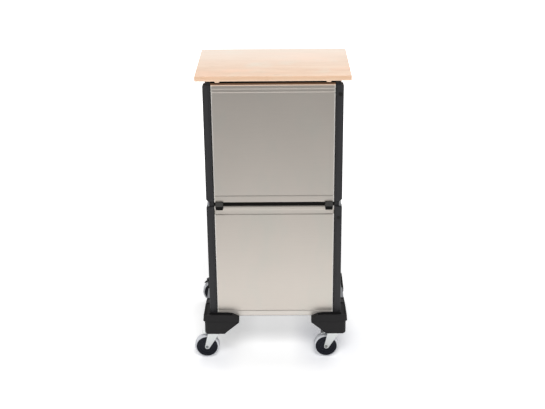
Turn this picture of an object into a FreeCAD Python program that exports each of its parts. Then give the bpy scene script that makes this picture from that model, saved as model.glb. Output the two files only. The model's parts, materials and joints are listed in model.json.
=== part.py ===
import FreeCAD, Part
import Sketcher
import math
import os

# Mobile lectern stand: a wooden desk board on two stacked rack modules, carried by a
# wheeled base with four corner feet and four swivel casters, the rear two with brakes.
# Millimetres. Origin on the floor under the middle of the caster square, +X to the
# right and -Y towards the front panels, +Z up.

Vector = FreeCAD.Vector
document = FreeCAD.newDocument("lectern_stand")

SIZES = {
    # desk board and its battens
    "board_width": 578, "board_front": 262, "board_back": 152, "board_thickness": 19,
    "board_round": 2, "batten_middle": 205.5, "batten_width": 19, "batten_rise": 5,
    "batten_back": 146,
    # rack modules
    "module_base": 192, "module_height": 483, "frame_half": 261, "rear_drop": 3,
    "post_width": 30, "post_depth": 37, "post_round": 5, "post_wall": 3,
    "rebate_width": 9, "rebate_depth": 2.5,
    "post_plug": 34, "mouth_lip": 8, "slot_height": 8, "slot_first": 45, "slot_pitch": 25,
    "neck_inset": 11.5, "neck_rise": 11, "foot_chamfer": 7, "neck_drop": 10, "head_inset": 4,
    "head_round": 5, "face_inset": 10,
    # rails, panels and shelves
    "rail_face": 251.5, "rail_side": 20, "rail_wall": 1.5, "rail_rear_drop": 4,
    "desk_rail_back": 142, "sheet": 1.2, "panel_face": 254, "panel_half": 230.7,
    "panel_top_gap": 10.4, "panel_foot": 7.8, "panel_return": 13, "bead_depth": 1.6,
    "bead_half": 2.4, "strip_height": 25, "shelf_half": 229, "shelf_depth_half": 236,
    "shelf_apron": 20, "shelf_sheet": 1.5, "shelf_slot": 8,
    # turn locks on the front right posts
    "lock_across": 248.2, "lock_head_radius": 7.5, "lock_shaft_radius": 4.5,
    "lock_clearance": 0.05, "cam_reach": 21, "cam_half": 4, "cam_face": 250.5,
    "cam_thickness": 3, "upper_lock_rise": 436.5, "lower_lock_rise": 425.5,
    # wheeled base
    "foot_top": 208, "foot_step": 181, "foot_platform": 187.5, "foot_bottom": 121.5,
    "foot_collar": 286, "foot_outer": 282, "foot_block": 200, "arm_tip": 144,
    "side_tip": 102, "arm_tip_base": 178, "arm_tip_top": 195.5, "arm_bend": 190,
    "gusset_end": 205, "collar_wall": 4.5, "groove_wall": 3, "groove_depth": 19,
    "sill_inner": 262, "sill_outer": 283, "sill_base": 188, "sill_end": 172,
    "buffer_outer": 286, "buffer_half": 50, "buffer_middle": 50,
    # casters
    "caster_square": 242, "wheel_radius": 50, "wheel_half": 16, "hub_radius": 42.5,
    "axle_radius": 4, "axle_clearance": 0.05, "trail": 36, "fork_half": 20,
    "fork_sheet": 2.5, "fork_crown": 113, "fork_back": 30, "fork_front": 16,
    "fork_eye": 11, "tail_half": 15, "plate_half": 34, "plate_base": 121, "plate_top": 125, "race_radius": 26,
    "kingpin_radius": 6, "kingpin_clearance": 0.1, "brake_pivot_back": 21,
    "brake_pivot_rise": 105.4, "brake_pin_radius": 2,
}


class Dim:
    """A length in mm that also knows its expression on the sheet."""

    def __init__(self, number, text):
        self.number, self.text = number, text

    @staticmethod
    def of(item):
        return item if isinstance(item, Dim) else Dim(item, repr(item))

    def join(self, other, sign, number):
        return Dim(number, f"({self.text} {sign} {other.text})")

    def __add__(self, other):
        other = Dim.of(other)
        return self.join(other, "+", self.number + other.number)

    def __sub__(self, other):
        other = Dim.of(other)
        return self.join(other, "-", self.number - other.number)

    def __mul__(self, other):
        other = Dim.of(other)
        return self.join(other, "*", self.number * other.number)

    def __truediv__(self, other):
        other = Dim.of(other)
        return self.join(other, "/", self.number / other.number)

    def __neg__(self):
        return Dim(-self.number, f"(0 - {self.text})")

    def __radd__(self, other):
        return Dim.of(other) + self

    def __rsub__(self, other):
        return Dim.of(other) - self

    def __rmul__(self, other):
        return Dim.of(other) * self


def fill_sheet():
    """Write every driving size to the sheet and hand back the sizes by name."""
    sheet = document.addObject("Spreadsheet::Sheet", "Sizes")
    names = {}
    for row, (alias, number) in enumerate(SIZES.items(), start=1):
        sheet.set(f"A{row}", alias)
        sheet.set(f"B{row}", str(number))
        sheet.setAlias(f"B{row}", alias)
        names[alias] = Dim(number, f"Sizes.{alias}")
    document.recompute()
    return names


size = fill_sheet()
exported = []


# ---- small helpers for sketches and features ------------------------------------


def new_body(label):
    body = document.addObject("PartDesign::Body", label)
    body.Label = label
    return body


def keep(*pieces):
    """Mark finished sub-parts; their labels name the files."""
    exported.extend(pieces)


def sketch_on(body, name, role, offset=0):
    """A sketch on one of the body's own origin planes, moved along its normal."""
    sketch = body.newObject("Sketcher::SketchObject", name)
    origin_plane = next(item for item in body.Origin.OriginFeatures if item.Role == role)
    sketch.AttachmentSupport = [(origin_plane, "")]
    sketch.MapMode = "FlatFace"
    sketch.setExpression("AttachmentOffset.Base.z", Dim.of(offset).text)
    return sketch


def pin_point(sketch, geometry, position, x, y):
    """Tie a sketch point to two sheet expressions."""
    for kind, place in (("DistanceX", Dim.of(x)), ("DistanceY", Dim.of(y))):
        row = sketch.addConstraint(
            Sketcher.Constraint(kind, -1, 1, geometry, position, place.number)
        )
        sketch.setExpression(f"Constraints[{row}]", place.text)


def outline(sketch, points):
    """A closed polygon whose corners are tied to the sheet."""
    first = sketch.GeometryCount
    corners = [(Dim.of(x), Dim.of(y)) for x, y in points]
    count = len(corners)
    for index, (x, y) in enumerate(corners):
        next_x, next_y = corners[(index + 1) % count]
        sketch.addGeometry(Part.LineSegment(
            Vector(x.number, y.number, 0), Vector(next_x.number, next_y.number, 0)))
    for index, (x, y) in enumerate(corners):
        sketch.addConstraint(Sketcher.Constraint(
            "Coincident", first + index, 2, first + (index + 1) % count, 1))
        pin_point(sketch, first + index, 1, x, y)


def rectangle(sketch, low_x, high_x, low_y, high_y):
    outline(sketch, [(low_x, low_y), (high_x, low_y), (high_x, high_y), (low_x, high_y)])


def disc(sketch, x, y, radius):
    x, y, radius = Dim.of(x), Dim.of(y), Dim.of(radius)
    index = sketch.addGeometry(
        Part.Circle(Vector(x.number, y.number, 0), Vector(0, 0, 1), radius.number))
    pin_point(sketch, index, 3, x, y)
    row = sketch.addConstraint(Sketcher.Constraint("Radius", index, radius.number))
    sketch.setExpression(f"Constraints[{row}]", radius.text)


def pad(body, sketch, length, middle=False, backwards=False, taper=0.0):
    feature = body.newObject("PartDesign::Pad", f"{sketch.Name}_pad")
    feature.Profile = sketch
    feature.setExpression("Length", Dim.of(length).text)
    feature.Midplane = middle
    feature.Reversed = backwards
    feature.TaperAngle = taper
    document.recompute()
    return feature


def pocket(body, sketch, length=None, middle=False, backwards=False):
    """Cut the sketch away: through everything when no length is given."""
    before = body.Shape.Volume
    feature = body.newObject("PartDesign::Pocket", f"{sketch.Name}_pocket")
    feature.Profile = sketch
    feature.Midplane = middle
    feature.Reversed = backwards
    if length is None:
        feature.Type = "ThroughAll"
    else:
        feature.setExpression("Length", Dim.of(length).text)
    document.recompute()
    if not body.Shape.Volume < before - 1e-3:
        raise RuntimeError(f"{body.Label}: {sketch.Name} cuts nothing")
    return feature


def revolve(body, sketch, kind="Revolution"):
    """Turn the profile about the sketch's upright axis."""
    feature = body.newObject(f"PartDesign::{kind}", f"{sketch.Name}_turned")
    feature.Profile = sketch
    feature.ReferenceAxis = (sketch, ["V_Axis"])
    feature.Angle = 360
    document.recompute()
    return feature


def edge_names(shape, wanted):
    """Names of the edges whose middle point and direction pass the test."""
    names = []
    for index, edge in enumerate(shape.Edges, start=1):
        low, high = edge.ParameterRange
        middle = edge.valueAt((low + high) / 2)
        if wanted(middle, edge):
            names.append(f"Edge{index}")
    return names


def soften(body, radius, wanted, kind="Fillet"):
    """Fillet or chamfer the edges of the tip that pass the test."""
    base = body.Tip
    names = edge_names(base.Shape, wanted)
    feature = body.newObject(f"PartDesign::{kind}", f"{kind}_{len(body.Group)}")
    feature.Base = (base, names)
    feature.setExpression("Radius" if kind == "Fillet" else "Size", Dim.of(radius).text)
    document.recompute()
    return feature


def upright(edge):
    """True for a straight edge along Z."""
    if edge.Curve.TypeId != "Part::GeomLine":
        return False
    return abs(edge.tangentAt(edge.FirstParameter).z) > 0.999


def near(value, place, slack=0.05):
    return abs(value - Dim.of(place).number) < slack


def place(body, x=0, y=0, z=0):
    """Move a body and tie its placement to the sheet."""
    for axis, item in zip("xyz", (x, y, z)):
        body.setExpression(f"Placement.Base.{axis}", Dim.of(item).text)
    return body


def twin(source, label, axis):
    """The mirror image of a sub-part across the middle plane normal to the axis."""
    mirrored = document.addObject("Part::Mirroring", label)
    mirrored.Label = label
    mirrored.Source = source
    mirrored.Normal = Vector(*[1 if name == axis else 0 for name in "XYZ"])
    document.recompute()
    return mirrored


def group(label, members):
    """Several like solids that share one node."""
    compound = document.addObject("Part::Compound", label)
    compound.Label = label
    compound.Links = members
    document.recompute()
    return compound


# ---- desk board ------------------------------------------------------------------


module_tops = {
    "lower": size["module_base"] + size["module_height"],
    "upper": size["module_base"] + 2 * size["module_height"],
}
board_base = module_tops["upper"] + size["batten_rise"]


def make_board():
    board = new_body("top_board")
    plan = sketch_on(board, "board_plan", "XY_Plane", board_base)
    half = size["board_width"] / 2
    rectangle(plan, -half, half, -size["board_front"], size["board_back"])
    pad(board, plan, size["board_thickness"])
    soften(board, size["board_round"], lambda middle, edge: True)
    keep(board)


def make_battens():
    battens = []
    for side in (-1, 1):
        batten = new_body("batten")
        plan = sketch_on(batten, "batten_plan", "XY_Plane", module_tops["upper"])
        middle = side * size["batten_middle"]
        half = size["batten_width"] / 2
        front = -size["board_front"] + 3
        rectangle(plan, middle - half, middle + half, front, size["batten_back"])
        pad(batten, plan, size["batten_rise"])
        underside = module_tops["upper"].number
        soften(batten, size["batten_rise"] * 0.9, lambda middle, edge: near(middle.z, underside)
               and abs(edge.tangentAt(edge.FirstParameter).y) > 0.999)
        battens.append(batten)
    keep(group("board_battens", battens))


def make_board_screws():
    """Pan head screws from under the top rails through the battens into the board."""
    screws = []
    for side in (-1, 1):
        for row in (-(size["rail_face"] - size["rail_side"] / 2),
                    size["desk_rail_back"] - size["rail_side"] / 2):
            screw = new_body("board_screw")
            head = sketch_on(screw, "screw_head", "XY_Plane")
            disc(head, 0, 0, 4.5)
            pad(screw, head, 2.6, backwards=True)
            shank = sketch_on(screw, "screw_shank", "XY_Plane")
            disc(shank, 0, 0, 2)
            pad(screw, shank, size["rail_side"] + size["batten_rise"] + 10)
            soften(screw, 1.2, lambda middle, edge: middle.z < -2.5)
            place(screw, side * size["batten_middle"], row,
                  module_tops["upper"] - size["rail_side"])
            screws.append(screw)
    keep(group("board_screws", screws))


# ---- posts -----------------------------------------------------------------------


def make_post(label, base, drop):
    """A slotted channel post of the rear right corner with plugged, necked ends.

    The channel is open towards the middle of the stand, and both of its lips carry
    the row of notches that shelves hook into. The head lies drop lower than the
    module's top.
    """
    post = new_body(label)
    outer = size["frame_half"]
    inner = outer - size["post_width"]
    back = outer - size["post_depth"]
    wall = size["post_wall"]
    height = size["module_height"] - drop
    plan = sketch_on(post, "post_plan", "XY_Plane")
    shoulder, rebate = inner + size["rebate_width"], outer - size["rebate_depth"]
    outline(plan, [(inner, back), (outer, back), (outer, outer), (shoulder, outer),
                   (shoulder, rebate), (inner, rebate)])
    pad(post, plan, height)
    soften(post, size["post_round"], lambda middle, edge: upright(edge)
           and near(middle.x, outer) and near(middle.y, outer))
    soften(post, 0.8, lambda middle, edge: upright(edge)
           and near(middle.x, shoulder) and near(middle.y, outer))

    run = size["module_height"] - 2 * size["post_plug"]
    mouth = sketch_on(post, "channel_mouth", "XY_Plane", size["post_plug"])
    lip = size["mouth_lip"]
    rectangle(mouth, inner - 1, outer - wall, back + lip, outer - lip)
    pocket(post, mouth, run, backwards=True)
    hollow = sketch_on(post, "channel_hollow", "XY_Plane", size["post_plug"])
    outline(hollow, [(inner + wall, back + wall), (outer - wall, back + wall),
                     (outer - wall, outer - wall), (shoulder + wall, outer - wall),
                     (shoulder + wall, rebate - wall), (inner + wall, rebate - wall)])
    pocket(post, hollow, run, backwards=True)

    # necks: under the rounded head and above the chamfered foot both outer faces step in
    side_cut = sketch_on(post, "neck_side", "XZ_Plane")
    neck, beyond = outer - size["neck_inset"], outer + 1
    head, inset, turn = height - size["neck_drop"], size["head_inset"], size["head_round"]
    outline(side_cut, [(neck, height + 1), (neck, head), (outer - inset, head),
                       (outer - inset * 0.3, head - turn * 0.6), (outer, head - turn),
                       (beyond, head - turn), (beyond, height + 1)])
    rise, slope = size["neck_rise"], size["foot_chamfer"]
    outline(side_cut, [(neck, -1), (neck, rise), (outer - slope, rise),
                       (outer - slope, rise + 3), (outer, rise + 3 + slope),
                       (beyond, rise + 3 + slope), (beyond, -1)])
    pocket(post, side_cut, middle=True)
    face_cut = sketch_on(post, "neck_face", "YZ_Plane")
    face = outer - size["face_inset"]
    outline(face_cut, [(face, height + 1), (face, head - 1), (outer - 1.5, head - 1),
                       (outer, head - 4), (beyond, head - 4), (beyond, height + 1)])
    outline(face_cut, [(face, -1), (face, rise + 1), (outer - 2, rise + 1),
                       (outer, rise + 5), (beyond, rise + 5), (beyond, -1)])
    pocket(post, face_cut, middle=True)

    notch = sketch_on(post, "shelf_notch", "XZ_Plane")
    rectangle(notch, inner - 1, inner + wall, size["slot_first"],
              size["slot_first"] + size["slot_height"])
    cut = pocket(post, notch, middle=True)
    row = post.newObject("PartDesign::LinearPattern", "notch_row")
    row.Originals = [cut]
    row.Direction = (notch, ["V_Axis"])
    row.Mode = "Spacing"
    row.Occurrences = 16
    row.setExpression("Offset", size["slot_pitch"].text)
    post.Tip = row
    document.recompute()
    place(post, 0, 0, base)
    return post


def make_lower_posts():
    master = make_post("lower_post_rear_right", size["module_base"], 0)
    rear_left = twin(master, "lower_post_rear_left", "X")
    front_blank = twin(master, "front_blank", "Y")
    front_left = twin(front_blank, "lower_post_front_left", "X")
    lock_rise = size["module_base"] + size["lower_lock_rise"]
    keep(master, rear_left, front_left,
         bore_for_lock("lower_post_front_right", front_blank, lock_rise))


def make_upper_posts():
    """The rear pair stops a little lower than the front pair."""
    rear_right = make_post("upper_post_rear_right", module_tops["lower"], size["rear_drop"])
    rear_left = twin(rear_right, "upper_post_rear_left", "X")
    full_post = make_post("full_post", module_tops["lower"], 0)
    front_blank = twin(full_post, "front_blank", "Y")
    front_left = twin(front_blank, "upper_post_front_left", "X")
    lock_rise = module_tops["lower"] + size["upper_lock_rise"]
    keep(rear_right, rear_left, front_left,
         bore_for_lock("upper_post_front_right", front_blank, lock_rise))


def bore_for_lock(label, blank, rise):
    """Drill the front wall of a post for its turn lock."""
    drill = document.addObject("Part::Cylinder", f"{label}_drill")
    drill.setExpression("Radius", (size["lock_shaft_radius"] + size["lock_clearance"]).text)
    drill.Height = 20
    drill.Placement.Rotation = FreeCAD.Rotation(Vector(1, 0, 0), -90)
    place(drill, size["lock_across"], -(size["frame_half"] + 5), rise)
    bored = document.addObject("Part::Cut", label)
    bored.Label = label
    bored.Base, bored.Tool = blank, drill
    document.recompute()
    return bored


def make_lock(label, rise):
    """Quarter-turn panel lock: a round head, a shaft and a cam behind the panel."""
    lock = new_body(label)
    # the profile lies in the XZ plane, whose normal points to the front
    head = sketch_on(lock, "lock_head", "XZ_Plane", size["frame_half"])
    disc(head, 0, 0, size["lock_head_radius"])
    pad(lock, head, 1.6)
    soften(lock, 0.8, lambda middle, edge: middle.y < -(size["frame_half"].number + 1.5))
    shaft = sketch_on(lock, "lock_shaft", "XZ_Plane", size["frame_half"])
    disc(shaft, 0, 0, size["lock_shaft_radius"])
    cam_back = size["cam_face"] - size["cam_thickness"]
    pad(lock, shaft, size["frame_half"] - cam_back, backwards=True)
    cam = sketch_on(lock, "lock_cam", "XZ_Plane", size["cam_face"])
    half = size["cam_half"]
    outline(cam, [(-size["cam_reach"], -half + 1), (1, -half), (1, half),
                  (-size["cam_reach"], half - 1)])
    pad(lock, cam, size["cam_thickness"], backwards=True)
    pins = sketch_on(lock, "key_holes", "XZ_Plane", size["frame_half"] + 1.6)
    for side in (-1, 1):
        disc(pins, 3 * side, 0, 0.9)
    pocket(lock, pins, 1.2)
    place(lock, size["lock_across"], 0, rise)
    keep(lock)


# ---- rails, panels and shelves ---------------------------------------------------


def make_rail(length, along, across, low, up):
    """A square tube; across and low are its middle sideways and its underside."""
    rail = new_body("rail")
    section = sketch_on(rail, "rail_section", "YZ_Plane" if along == "X" else "XZ_Plane")
    half, wall, side = size["rail_side"] / 2, size["rail_wall"], size["rail_side"]
    rectangle(section, -half, half, 0, side)
    rectangle(section, wall - half, half - wall, wall, side - wall)
    pad(rail, section, length, middle=True)
    place(rail, across, low, up)
    return rail


def make_module_rails(level, base):
    """Four cross rails and four side rails between the posts of a module."""
    span = 2 * (size["frame_half"] - size["post_width"])
    reach = 2 * (size["frame_half"] - size["post_depth"])
    middle = size["rail_face"] - size["rail_side"] / 2
    foot = base
    head = base + size["module_height"] - size["rail_side"]
    rear_head = head - size["rail_rear_drop"]
    cross = [make_rail(span, "X", 0, -middle, foot), make_rail(span, "X", 0, -middle, head),
             make_rail(span, "X", 0, middle, foot), make_rail(span, "X", 0, middle, rear_head)]
    if level == "upper":
        desk_row = size["desk_rail_back"] - size["rail_side"] / 2
        inside = 2 * (size["rail_face"] - size["rail_side"])
        cross.append(make_rail(inside, "X", 0, desk_row, head))
    sides = [make_rail(reach, "Y", side * middle, 0, up)
             for side in (-1, 1) for up in (foot, head)]
    keep(group(f"{level}_cross_rails", cross), group(f"{level}_side_rails", sides))


def bead(face, back, rise, inwards):
    """The points of a pressed bead across a sheet, on its outer and its inner face."""
    depth, half = size["bead_depth"] * inwards, size["bead_half"]
    outer = [(face, rise - half), (face + depth, rise), (face, rise + half)]
    inner = [(back, rise + half), (back + depth, rise), (back, rise - half)]
    return outer, inner


def folded_sheet(panel, role, face, inwards, low, high, beads, half):
    """Pad the side profile of a sheet with beads and short return flanges.

    face is the outer face's place, inwards is +1 or -1 towards the inside, and beads
    are the heights of the beads from the lowest up.
    """
    sheet = size["sheet"] * inwards
    back = face + sheet
    rail = (size["panel_face"] - size["rail_face"]) * inwards + face
    outer, inner = [], []
    for rise in beads:
        front_points, back_points = bead(face, back, rise, inwards)
        outer += front_points
        inner = back_points + inner
    profile = sketch_on(panel, "panel_profile", role)
    thick = size["sheet"]
    outline(profile, [(rail, low), (face, low)] + outer + [(face, high), (rail, high),
            (rail, high - thick), (back, high - thick)] + inner + [
            (back, low + thick), (rail, low + thick)])
    pad(panel, profile, 2 * half, middle=True)


def make_front_panel(level, base, low, beads, lock_rise):
    """The folded front sheet of a module with its side flanges."""
    panel = new_body(f"{level}_front_panel")
    face = -size["panel_face"]
    high = base + size["module_height"] - size["panel_top_gap"]
    folded_sheet(panel, "YZ_Plane", face, 1, low, high, beads, size["panel_half"])
    flange_low = base + size["rail_side"] + 2.5
    flange_high = base + size["module_height"] - size["rail_side"] - 2.5
    flanges = sketch_on(panel, "side_flanges", "XY_Plane", flange_low)
    half, sheet = size["panel_half"], size["sheet"]
    for side in (-1, 1):
        rectangle(flanges, side * half, side * (half - sheet),
                  face + 0.4, face + size["panel_return"])
    pad(panel, flanges, flange_high - flange_low)
    window = sketch_on(panel, "cam_window", "YZ_Plane")
    rectangle(window, -size["cam_face"] - 1, -size["cam_face"] + size["cam_thickness"] + 1,
              base + lock_rise - 19, base + lock_rise + size["cam_half"] + 2)
    pocket(panel, window, backwards=True)
    keep(panel)


def make_side_panel(level, base, low):
    """Right side sheet and its mirror image on the left."""
    panel = new_body(f"{level}_side_panel_right")
    face = size["panel_face"]
    half = size["frame_half"] - size["post_depth"] - 0.3
    high = base + size["module_height"] - size["panel_top_gap"]
    beads = [base + size["rail_side"] + 1, high - size["strip_height"] + 4]
    folded_sheet(panel, "XZ_Plane", face, -1, low, high, beads, half)
    flange_low = base + size["rail_side"] + 2.5
    flange_high = base + size["module_height"] - size["rail_side"] - 2.5
    flanges = sketch_on(panel, "end_flanges", "XY_Plane", flange_low)
    for side in (-1, 1):
        rectangle(flanges, face - size["panel_return"], face - 0.4,
                  side * half, side * (half - size["sheet"]))
    pad(panel, flanges, flange_high - flange_low)
    keep(panel, twin(panel, f"{level}_side_panel_left", "X"))


def make_floor_plate(level, base):
    """A flat sheet that lies on the bottom cross rails."""
    floor = new_body(f"{level}_floor_plate")
    plan = sketch_on(floor, "floor_plan", "XY_Plane", base + size["rail_side"])
    half = size["panel_half"] - 2
    rectangle(plan, -half, half, -size["rail_face"] + 1, size["rail_face"])
    pad(floor, plan, size["shelf_sheet"])
    soften(floor, 3, lambda middle, edge: upright(edge))
    keep(floor)


def make_shelf(level, base):
    """A folded tray whose four lugs sit in the post notches."""
    shelf = new_body(f"{level}_shelf")
    seat = base + size["slot_first"] + size["shelf_slot"] * size["slot_pitch"]
    top = seat + size["shelf_apron"] / 2
    plan = sketch_on(shelf, "shelf_plan", "XY_Plane", top)
    half, deep, sheet = size["shelf_half"], size["shelf_depth_half"], size["shelf_sheet"]
    rectangle(plan, -half, half, -deep, deep)
    pad(shelf, plan, size["shelf_apron"], backwards=True)
    soften(shelf, 2, lambda middle, edge: upright(edge))
    inside = sketch_on(shelf, "shelf_inside", "XY_Plane", top - size["shelf_apron"])
    rectangle(inside, sheet - half, half - sheet, sheet - deep, deep - sheet)
    pocket(shelf, inside, size["shelf_apron"] - sheet, backwards=True)
    lugs = sketch_on(shelf, "shelf_lugs", "XY_Plane", seat)
    lug_back = size["frame_half"] - size["post_depth"] + 2
    for side in (-1, 1):
        for end in (-1, 1):
            rectangle(lugs, side * (half - 1), side * (half + 5),
                      end * lug_back, end * (lug_back + 4))
    pad(shelf, lugs, size["slot_height"] - 1)
    keep(shelf)


# ---- clips and connectors --------------------------------------------------------


def make_clips():
    """Stacking clips on the upper bottom rail that hook over the lower panel."""
    seam = module_tops["lower"]
    face, rail = -264, -size["rail_face"]
    before_panel = -size["panel_face"] - 0.4
    split, top, width, narrow = seam - 9, seam + 10, 30, 26
    panel_top = seam - size["panel_top_gap"] + 0.8
    blocks, pads = [], []
    for side in (-1, 1):
        block = new_body("clip_block")
        profile = sketch_on(block, "block_profile", "YZ_Plane")
        outline(profile, [(face, split), (before_panel, split), (rail, split),
                          (rail, seam + size["panel_foot"] - 0.6),
                          (before_panel, seam + size["panel_foot"] - 0.6),
                          (before_panel, top), (face, top)])
        pad(block, profile, width, middle=True)
        soften(block, 2, lambda middle, edge: near(middle.y, face)
               and (near(abs(middle.x), width / 2) or near(middle.z, top)))
        pad_body = new_body("clip_pad")
        lip = sketch_on(pad_body, "pad_profile", "YZ_Plane")
        outline(lip, [(face - 0.5, split), (face - 0.5, split - 11.5),
                      (face + 1.5, split - 14), (before_panel, split - 14),
                      (before_panel, split)])
        pad(pad_body, lip, width, middle=True)
        trim = sketch_on(pad_body, "pad_sides", "XZ_Plane")
        for hand in (-1, 1):
            outline(trim, [(hand * width / 2, split - 3), (hand * narrow / 2, split - 15),
                           (hand * (width / 2 + 1), split - 15),
                           (hand * (width / 2 + 1), split - 3)])
        pocket(pad_body, trim, middle=True)
        for piece in (block, pad_body):
            place(piece, side * 210.7)
        blocks.append(block)
        pads.append(pad_body)
    keep(group("clip_blocks", blocks), group("clip_pads", pads))


def make_post_connectors():
    """Zinc stacking plates let into the necks between the two modules."""
    plate = new_body("connector")
    profile = sketch_on(plate, "connector_profile", "XZ_Plane",
                        -(size["frame_half"] - size["post_depth"] + 3))
    neck = size["frame_half"] - size["neck_inset"]
    seam, cheek = module_tops["lower"], size["frame_half"] - size["head_inset"]
    top = seam + size["neck_rise"] - 1
    outline(profile, [(neck, seam - size["neck_drop"]), (cheek, seam - size["neck_drop"]),
                      (cheek, top - 4), (cheek - 4, top), (neck, top)])
    pad(plate, profile, 28, backwards=True)
    right_rear = plate
    left_rear = twin(right_rear, "connector_left", "X")
    right_front = twin(right_rear, "connector_front", "Y")
    left_front = twin(left_rear, "connector_front_left", "Y")
    keep(group("post_connectors", [right_rear, left_rear, right_front, left_front]))


# ---- wheeled base ----------------------------------------------------------------


def make_feet():
    """Moulded corner foot of the rear right corner and its three mirror images.

    A drafted block carries the caster, and a taller grooved collar outside the frame
    runs out into two arms that are cut off aslant below.
    """
    foot = new_body("corner_foot_rear_right")
    outer, block, frame = size["foot_outer"], size["foot_block"], size["frame_half"]
    tip, side_tip, base = size["arm_tip"], size["side_tip"], size["foot_bottom"]
    lower = sketch_on(foot, "lower_plan", "XY_Plane", size["foot_platform"])
    ledge = frame + 2
    outline(lower, [(outer, outer), (tip, outer), (tip, ledge), (block, ledge),
                    (block, block), (ledge, block), (ledge, side_tip), (outer, side_tip)])
    pad(foot, lower, size["foot_platform"] - base, backwards=True, taper=-2.5)
    soften(foot, 12, lambda middle, line: middle.x > block.number + 60
           and middle.y > block.number + 60 and line.Length > 40)
    soften(foot, 7, lambda middle, line: near(middle.z, base)
           and max(middle.x, middle.y) > outer.number - 8)

    collar = sketch_on(foot, "collar_plan", "XY_Plane", size["foot_step"])
    edge = size["foot_collar"]
    outline(collar, [(edge, edge), (tip, edge), (tip, frame), (frame, frame),
                     (frame, side_tip), (edge, side_tip)])
    pad(foot, collar, size["foot_top"] - size["foot_step"])

    seat = sketch_on(foot, "post_seat", "XY_Plane", size["foot_platform"])
    rectangle(seat, frame - size["post_width"], frame, frame - size["post_depth"], frame)
    pad(foot, seat, size["module_base"] - size["foot_platform"])

    # each arm is cut off aslant below and falls away above
    cut_arm(foot, "slant_x", "XZ_Plane", tip)
    cut_arm(foot, "slant_y", "YZ_Plane", side_tip)

    # a groove behind the outer wall of the collar
    groove = sketch_on(foot, "collar_groove", "XY_Plane", size["foot_top"])
    wall, near_frame = edge - size["collar_wall"], frame + size["groove_wall"]
    stop, side_stop = size["arm_bend"] - 18, size["sill_end"] + 4
    outline(groove, [(wall, wall), (stop, wall), (stop, near_frame),
                     (near_frame, near_frame), (near_frame, side_stop), (wall, side_stop)])
    pocket(foot, groove, size["groove_depth"])

    # the side arm takes the end of the sill
    sill = sketch_on(foot, "sill_seat", "XY_Plane", size["sill_base"])
    rectangle(sill, frame - 1, size["sill_outer"], side_tip - 1, size["sill_end"])
    pocket(foot, sill, size["foot_top"] - size["sill_base"] + 1, backwards=True)

    # the caster plate is let into the underside
    recess = sketch_on(foot, "plate_recess", "XY_Plane", base)
    reach, middle = size["plate_half"] + 0.5, size["caster_square"]
    rectangle(recess, middle - reach, middle + reach, middle - reach, middle + reach)
    pocket(foot, recess, size["plate_top"] - base, backwards=True)
    round_corner(foot)

    rear_left = twin(foot, "corner_foot_rear_left", "X")
    front_right = twin(foot, "corner_foot_front_right", "Y")
    keep(foot, rear_left, front_right, twin(front_right, "corner_foot_front_left", "X"))


def cut_arm(foot, name, role, tip):
    """Cut the slant under one arm and the falling top edge near its tip."""
    base, top, bend = size["foot_bottom"], size["foot_top"], size["arm_bend"]
    cut = sketch_on(foot, name, role)
    outline(cut, [(tip - 1, base - 1), (size["gusset_end"], base - 1),
                  (size["gusset_end"], base), (tip, size["arm_tip_base"]),
                  (tip - 1, size["arm_tip_base"])])
    outline(cut, [(bend, top), (tip * 0.45 + bend * 0.55, top - 3.2),
                  (tip, size["arm_tip_top"]), (tip - 1, size["arm_tip_top"]),
                  (tip - 1, top + 1), (bend, top + 1)])
    pocket(foot, cut, middle=True)


def round_corner(foot):
    """Round the outer corner of the collar and soften its top edge."""
    edge = size["foot_collar"].number
    soften(foot, 9, lambda middle, line: upright(line)
           and near(middle.x, edge) and near(middle.y, edge))
    top = size["foot_top"].number
    soften(foot, 1.5, lambda middle, line: near(middle.z, top)
           and max(middle.x, middle.y) > edge - 2.5)


def make_sills():
    """Rectangular side tubes between the feet."""
    sill = new_body("side_sill")
    inner, outer, wall = size["sill_inner"], size["sill_outer"], size["rail_wall"]
    low, high = size["sill_base"], size["foot_top"]
    section = sketch_on(sill, "sill_section", "XZ_Plane")
    rectangle(section, inner, outer, low, high)
    rectangle(section, inner + wall, outer - wall, low + wall, high - wall)
    pad(sill, section, 2 * size["sill_end"], middle=True)
    keep(group("side_sills", [sill, twin(sill, "left_sill", "X")]))


def make_buffers():
    """Rubber bumpers on the rear half of both sills."""
    buffer = new_body("side_buffer")
    plan = sketch_on(buffer, "buffer_plan", "XY_Plane", size["sill_base"] - 1)
    inner, outer = size["sill_outer"], size["buffer_outer"]
    low = size["buffer_middle"] - size["buffer_half"]
    high = size["buffer_middle"] + size["buffer_half"]
    outline(plan, [(inner, low), (outer, low + 3), (outer, high - 3), (inner, high)])
    pad(buffer, plan, size["foot_top"] - size["sill_base"])
    keep(group("side_buffers", [buffer, twin(buffer, "left_buffer", "X")]))


def make_base_tray():
    """A sheet that ties the feet and sills, notched for the four post seats."""
    tray = new_body("base_tray")
    side, front = size["sill_inner"], size["rail_face"] - 0.5
    notch_x = size["frame_half"] - size["post_width"] - 0.5
    notch_y = size["frame_half"] - size["post_depth"] - 0.5
    plan = sketch_on(tray, "tray_plan", "XY_Plane", size["foot_platform"])
    ledge, reach = size["frame_half"] - 0.5, size["side_tip"] - 2
    corner = [(notch_x, front), (notch_x, notch_y), (ledge, notch_y), (ledge, reach),
              (side, reach)]
    outline(plan, corner + [(x, -y) for x, y in reversed(corner)]
            + [(-x, -y) for x, y in corner] + [(-x, y) for x, y in reversed(corner)])
    pad(tray, plan, size["shelf_sheet"])
    flanges = sketch_on(tray, "tray_flanges", "XZ_Plane")
    for hand in (-1, 1):
        rectangle(flanges, hand * (side - size["shelf_sheet"]), hand * side,
                  size["foot_platform"] + 0.5, size["foot_top"] - 2)
    pad(tray, flanges, 2 * reach, middle=True)
    keep(tray)


# ---- casters ---------------------------------------------------------------------


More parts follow.
